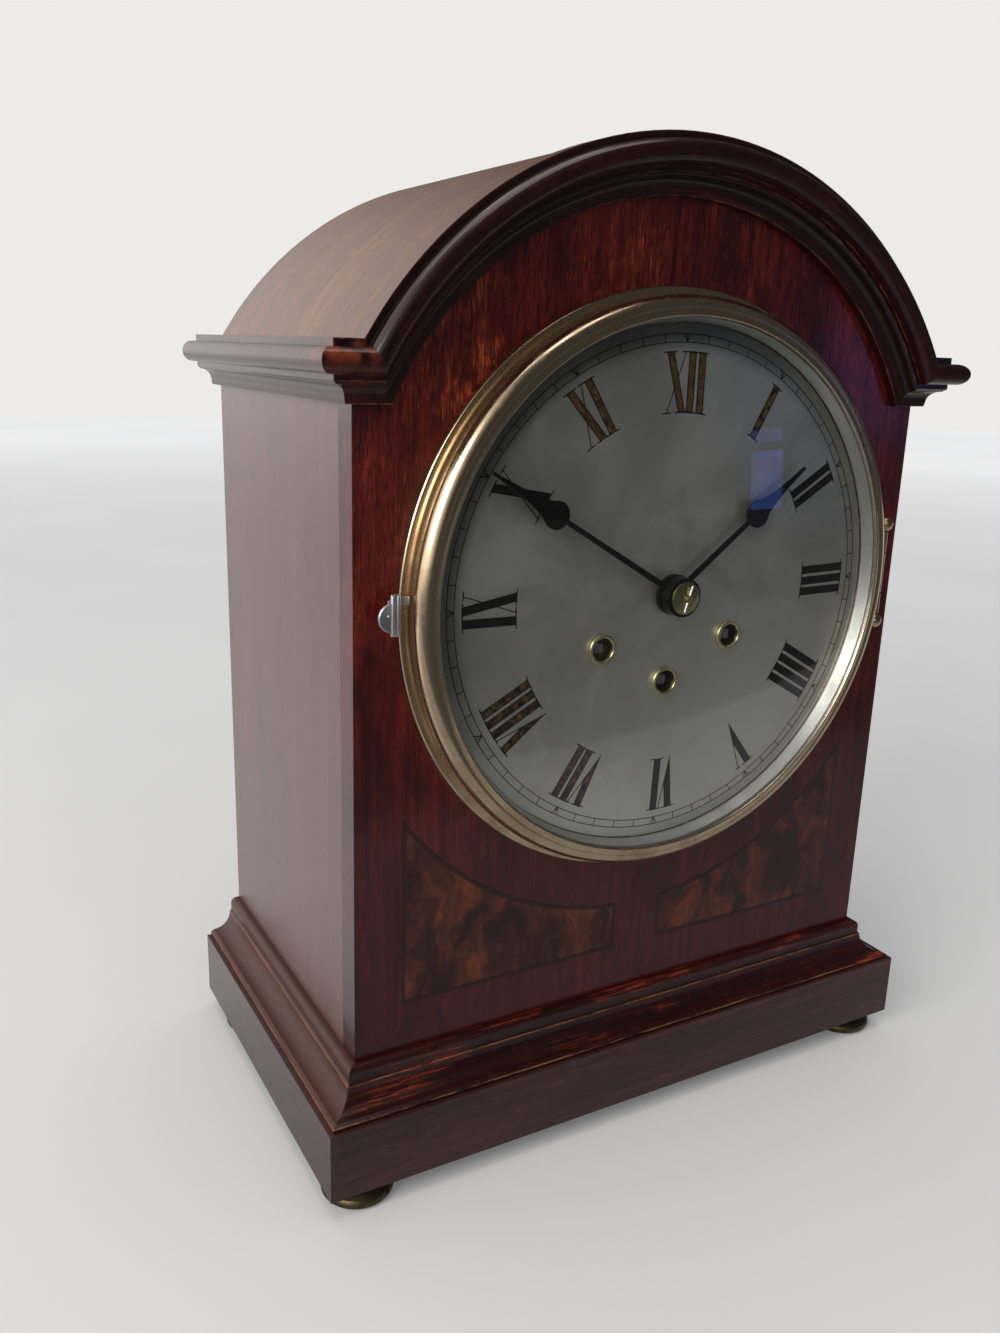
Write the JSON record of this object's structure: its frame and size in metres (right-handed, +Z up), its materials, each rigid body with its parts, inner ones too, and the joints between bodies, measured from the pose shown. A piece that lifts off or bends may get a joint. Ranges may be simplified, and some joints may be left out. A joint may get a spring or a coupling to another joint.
{
  "type": "chiming clock",
  "caption": "Arch-top wooden bracket clock with hinged brass bezel, engraved silvered dial, hinged rear door and a quarter-chiming pendulum movement.",
  "frame": {"origin": "under the middle of the whole clock, in the plane its feet stand on", "axes": "+X to the right seen from the front, +Y from the dial to the rear door, +Z up"},
  "size_m": [0.293, 0.1852, 0.3965],
  "materials": {
    "case_sides": "french polished, semi-gloss",
    "case_front": "french polished, gloss",
    "case_roof": "french polished, semi-gloss",
    "plinth_wood": "french polished, semi-gloss",
    "moulding_wood": "french polished, gloss",
    "inner_wood": "planed, unfinished",
    "burr_inlay": "french polished, gloss",
    "stringing_wood": "polished",
    "foot_brass": "dull, darkened",
    "bezel_brass": "polished, lacquered",
    "bright_brass": "polished",
    "slip_silver": "silvered",
    "dial_silver": "silvered, matt, engraved numerals filled with wax",
    "nickel": "worn nickel",
    "clear_glass": "clear, polished",
    "blued_steel": "blued",
    "movement_brass": "fine ground",
    "movement_steel": "polished",
    "block_iron": "black painted",
    "rod_bronze": "drawn"
  },
  "bodies": {
    "case": {"plinth": "plinth_wood", "plinth_moulding": "moulding_wood", "base_board": "inner_wood", "feet": "foot_brass", "side_left": "case_sides", "side_right": "case_sides", "front_panel": "case_front", "inlay_left": "burr_inlay", "inlay_right": "burr_inlay", "stringing": "stringing_wood", "cornice_left": "moulding_wood", "cornice_right": "moulding_wood", "arch_moulding": "moulding_wood", "roof": "case_roof", "back_frame": "plinth_wood", "seat_board": "inner_wood", "rear_hinges": "bright_brass", "dial_ring": "bezel_brass", "dial_plate": "dial_silver", "winding_collars": "bright_brass", "bezel_hinge_pin": "bezel_brass", "front_plate": "movement_brass", "back_plate": "movement_brass", "suspension": "movement_brass", "clicks": "movement_steel", "chime_frame": "movement_brass", "gong_block": "block_iron", "gong_rods": "rod_bronze"},
    "bezel": {"bezel": "bezel_brass", "bezel_slip": "slip_silver", "glass": "clear_glass", "catch_tab": "nickel"},
    "rear_door": {"rear_door": "plinth_wood", "rear_door_leaves": "bright_brass"},
    "rear_knob": {"rear_knob": "bright_brass"},
    "minute": {"centre_arbor": "movement_brass", "minute_hand": "blued_steel", "hand_collet": "bright_brass"},
    "minute_wheel": {"minute_wheel": "movement_brass"},
    "hour": {"hour_wheel": "movement_brass", "hour_hand": "blued_steel"},
    "third": {"third_wheel": "movement_brass"},
    "escape": {"escape_wheel": "movement_brass"},
    "going_barrel": {"going_barrel": "movement_brass"},
    "strike_barrel": {"strike_barrel": "movement_brass"},
    "chime_barrel": {"chime_barrel": "movement_brass"},
    "going_winder": {"going_winder": "movement_steel"},
    "strike_winder": {"strike_winder": "movement_steel"},
    "chime_winder": {"chime_winder": "movement_steel"},
    "strike_wheel": {"strike_wheel": "movement_brass"},
    "strike_fly": {"strike_fly": "movement_brass"},
    "chime_wheel": {"chime_wheel": "movement_brass"},
    "chime_fly": {"chime_fly": "movement_brass"},
    "chime_drum": {"chime_drum": "movement_brass"},
    "pendulum": {"pendulum": "movement_brass"},
    "anchor": {"anchor": "movement_steel"},
    "hammer_1": {"hammer_1": "movement_brass"},
    "hammer_2": {"hammer_2": "movement_brass"},
    "hammer_3": {"hammer_3": "movement_brass"},
    "hammer_4": {"hammer_4": "movement_brass"}
  },
  "joints": [
    {"name": "bezel_hinge", "type": "hinge", "parent": "case", "child": "bezel", "pos_m": [0.1172, -0.0756, 0.231], "axis": [0, 0, 1], "range_deg": [0, 115]},
    {"name": "rear_door_hinge", "type": "hinge", "parent": "case", "child": "rear_door", "pos_m": [-0.102, 0.0836, 0.206], "axis": [0, 0, 1], "range_deg": [0, 110]},
    {"name": "rear_knob_turn", "type": "hinge", "parent": "rear_door", "child": "rear_knob", "pos_m": [0.09, 0.0766, 0.231], "axis": [0, 1, 0], "range_deg": [0, 90]},
    {"name": "minute_turn", "type": "hinge", "parent": "case", "child": "minute", "pos_m": [0, -0.0301, 0.231], "axis": [0, 1, 0], "continuous": true},
    {"name": "minute_wheel_turn", "type": "hinge", "parent": "case", "child": "minute_wheel", "pos_m": [-0.01273, -0.0621, 0.24373], "axis": [0, 1, 0], "continuous": true},
    {"name": "hour_turn", "type": "hinge", "parent": "case", "child": "hour", "pos_m": [0, -0.0651, 0.231], "axis": [0, 1, 0], "continuous": true},
    {"name": "third_turn", "type": "hinge", "parent": "case", "child": "third", "pos_m": [0.01251, -0.0301, 0.25267], "axis": [0, 1, 0], "continuous": true},
    {"name": "escape_turn", "type": "hinge", "parent": "case", "child": "escape", "pos_m": [0, -0.0301, 0.26954], "axis": [0, 1, 0], "continuous": true},
    {"name": "going_barrel_turn", "type": "hinge", "parent": "case", "child": "going_barrel", "pos_m": [0, -0.0301, 0.1953], "axis": [0, 1, 0], "continuous": true},
    {"name": "strike_barrel_turn", "type": "hinge", "parent": "case", "child": "strike_barrel", "pos_m": [-0.03096, -0.0301, 0.2114], "axis": [0, 1, 0], "continuous": true},
    {"name": "strike_wheel_turn", "type": "hinge", "parent": "case", "child": "strike_wheel", "pos_m": [-0.04054, -0.0301, 0.23771], "axis": [0, 1, 0], "continuous": true},
    {"name": "strike_fly_turn", "type": "hinge", "parent": "case", "child": "strike_fly", "pos_m": [-0.03335, -0.0301, 0.25744], "axis": [0, 1, 0], "continuous": true},
    {"name": "chime_barrel_turn", "type": "hinge", "parent": "case", "child": "chime_barrel", "pos_m": [0.03096, -0.0301, 0.2114], "axis": [0, 1, 0], "continuous": true},
    {"name": "chime_wheel_turn", "type": "hinge", "parent": "case", "child": "chime_wheel", "pos_m": [0.04496, -0.0301, 0.23565], "axis": [0, 1, 0], "continuous": true},
    {"name": "chime_fly_turn", "type": "hinge", "parent": "case", "child": "chime_fly", "pos_m": [0.04861, -0.0301, 0.25633], "axis": [0, 1, 0], "continuous": true},
    {"name": "chime_drum_turn", "type": "hinge", "parent": "case", "child": "chime_drum", "pos_m": [0.04896, 0.0099, 0.18022], "axis": [0, 1, 0], "continuous": true},
    {"name": "going_winder_turn", "type": "hinge", "parent": "case", "child": "going_winder", "pos_m": [0, -0.0561, 0.1953], "axis": [0, 1, 0], "continuous": true},
    {"name": "strike_winder_turn", "type": "hinge", "parent": "case", "child": "strike_winder", "pos_m": [-0.03096, -0.0561, 0.2114], "axis": [0, 1, 0], "continuous": true},
    {"name": "chime_winder_turn", "type": "hinge", "parent": "case", "child": "chime_winder", "pos_m": [0.03096, -0.0561, 0.2114], "axis": [0, 1, 0], "continuous": true},
    {"name": "pendulum_swing", "type": "hinge", "parent": "case", "child": "pendulum", "pos_m": [0, 0.0099, 0.28594], "axis": [0, 1, 0], "range_deg": [-3.5, 3.5]},
    {"name": "anchor_rock", "type": "hinge", "parent": "case", "child": "anchor", "pos_m": [0, -0.0201, 0.28594], "axis": [0, 1, 0], "range_deg": [-3.5, 3.5]},
    {"name": "hammer_1_lift", "type": "hinge", "parent": "case", "child": "hammer_1", "pos_m": [0.07296, 0.0144, 0.19022], "axis": [0, 1, 0], "range_deg": [0, 12], "stiffness_Nm_per_rad": 0.01, "springref_deg": -20.05},
    {"name": "hammer_2_lift", "type": "hinge", "parent": "case", "child": "hammer_2", "pos_m": [0.07296, 0.0229, 0.19022], "axis": [0, 1, 0], "range_deg": [0, 12], "stiffness_Nm_per_rad": 0.01, "springref_deg": -20.05},
    {"name": "hammer_3_lift", "type": "hinge", "parent": "case", "child": "hammer_3", "pos_m": [0.07296, 0.0314, 0.19022], "axis": [0, 1, 0], "range_deg": [0, 12], "stiffness_Nm_per_rad": 0.01, "springref_deg": -20.05},
    {"name": "hammer_4_lift", "type": "hinge", "parent": "case", "child": "hammer_4", "pos_m": [0.07296, 0.0399, 0.19022], "axis": [0, 1, 0], "range_deg": [0, 12], "stiffness_Nm_per_rad": 0.01, "springref_deg": -20.05}
  ],
  "couplings": [
    {"joint": "minute_wheel_turn", "follows": "minute_turn", "ratio": -0.33333},
    {"joint": "hour_turn", "follows": "minute_turn", "ratio": 0.083333},
    {"joint": "third_turn", "follows": "minute_turn", "ratio": -12},
    {"joint": "escape_turn", "follows": "minute_turn", "ratio": 132},
    {"joint": "going_barrel_turn", "follows": "minute_turn", "ratio": -0.125},
    {"joint": "strike_wheel_turn", "follows": "strike_barrel_turn", "ratio": -6},
    {"joint": "strike_fly_turn", "follows": "strike_barrel_turn", "ratio": 36},
    {"joint": "chime_wheel_turn", "follows": "chime_barrel_turn", "ratio": -6},
    {"joint": "chime_fly_turn", "follows": "chime_barrel_turn", "ratio": 36},
    {"joint": "chime_drum_turn", "follows": "chime_barrel_turn", "ratio": -2},
    {"joint": "anchor_rock", "follows": "pendulum_swing", "ratio": 1}
  ]
}
